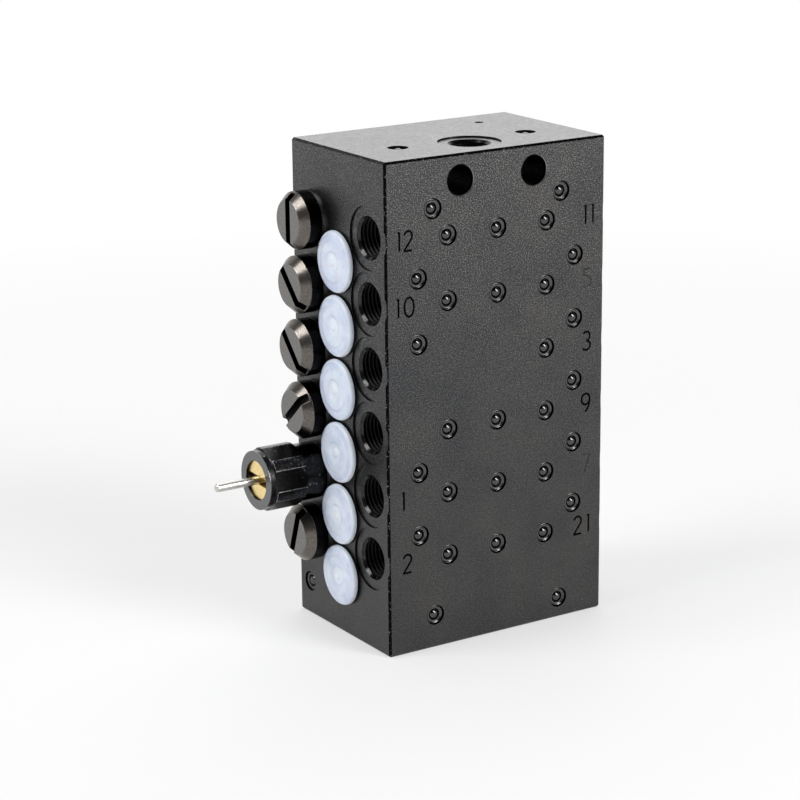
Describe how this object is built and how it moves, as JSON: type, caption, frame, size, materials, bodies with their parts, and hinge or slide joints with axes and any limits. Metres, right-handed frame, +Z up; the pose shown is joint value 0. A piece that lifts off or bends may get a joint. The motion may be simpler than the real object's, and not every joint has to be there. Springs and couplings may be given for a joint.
{
  "type": "lubricant divider block",
  "caption": "Blackened steel block that shares grease among threaded outlets by sliding pistons, with slotted end plugs, white port caps and a pin that shows the strokes.",
  "frame": {"origin": "middle of the block's bottom face", "axes": "+Z up along the block's height, -Y out of the numbered front face, X along the pistons, with the indicator pin on the -X side"},
  "size_m": [0.0926, 0.04, 0.115],
  "materials": {
    "blackened_block": "blackened, fine speckle",
    "turned_plug": "blackened, turned",
    "white_cap": "milky, slightly bluish",
    "dark_washer": "dull",
    "black_hexagon": "glossy black",
    "brass": "bright, turned",
    "packing_rubber": "plain",
    "bright_pin": "ground bright",
    "ground_piston": "hardened and ground"
  },
  "bodies": {
    "housing": {"housing_block": "blackened_block", "closure_plug_left_1": "turned_plug", "closure_plug_left_2": "turned_plug", "closure_plug_left_3": "turned_plug", "closure_plug_left_4": "turned_plug", "closure_plug_left_6": "turned_plug", "closure_plug_right_1": "turned_plug", "closure_plug_right_2": "turned_plug", "closure_plug_right_3": "turned_plug", "closure_plug_right_4": "turned_plug", "closure_plug_right_5": "turned_plug", "closure_plug_right_6": "turned_plug", "plug_sealing_washers": "dark_washer", "port_cap_left_1": "white_cap", "port_cap_left_2": "white_cap", "port_cap_left_3": "white_cap", "port_cap_left_4": "white_cap", "port_cap_left_5": "white_cap", "port_cap_left_6": "white_cap", "port_cap_right_1": "white_cap", "port_cap_right_2": "white_cap", "port_cap_right_3": "white_cap", "port_cap_right_4": "white_cap", "port_cap_right_5": "white_cap", "port_cap_right_6": "white_cap", "indicator_body": "black_hexagon", "indicator_gland": "brass", "indicator_packing": "packing_rubber"},
    "piston_1": {"metering_piston_1": "ground_piston"},
    "piston_2": {"metering_piston_2": "ground_piston"},
    "piston_3": {"metering_piston_3": "ground_piston"},
    "piston_4": {"metering_piston_4": "ground_piston"},
    "piston_5": {"metering_piston_5": "ground_piston", "indicator_pin": "bright_pin"},
    "piston_6": {"metering_piston_6": "ground_piston"}
  },
  "joints": [
    {"name": "piston_1_stroke", "type": "slide", "parent": "housing", "child": "piston_1", "axis": [1, 0, 0], "range_m": [0, 0.007]},
    {"name": "piston_2_stroke", "type": "slide", "parent": "housing", "child": "piston_2", "axis": [1, 0, 0], "range_m": [-0.007, 0]},
    {"name": "piston_3_stroke", "type": "slide", "parent": "housing", "child": "piston_3", "axis": [1, 0, 0], "range_m": [0, 0.007]},
    {"name": "piston_4_stroke", "type": "slide", "parent": "housing", "child": "piston_4", "axis": [1, 0, 0], "range_m": [-0.007, 0]},
    {"name": "piston_5_stroke", "type": "slide", "parent": "housing", "child": "piston_5", "axis": [1, 0, 0], "range_m": [0, 0.007]},
    {"name": "piston_6_stroke", "type": "slide", "parent": "housing", "child": "piston_6", "axis": [1, 0, 0], "range_m": [-0.007, 0]}
  ]
}
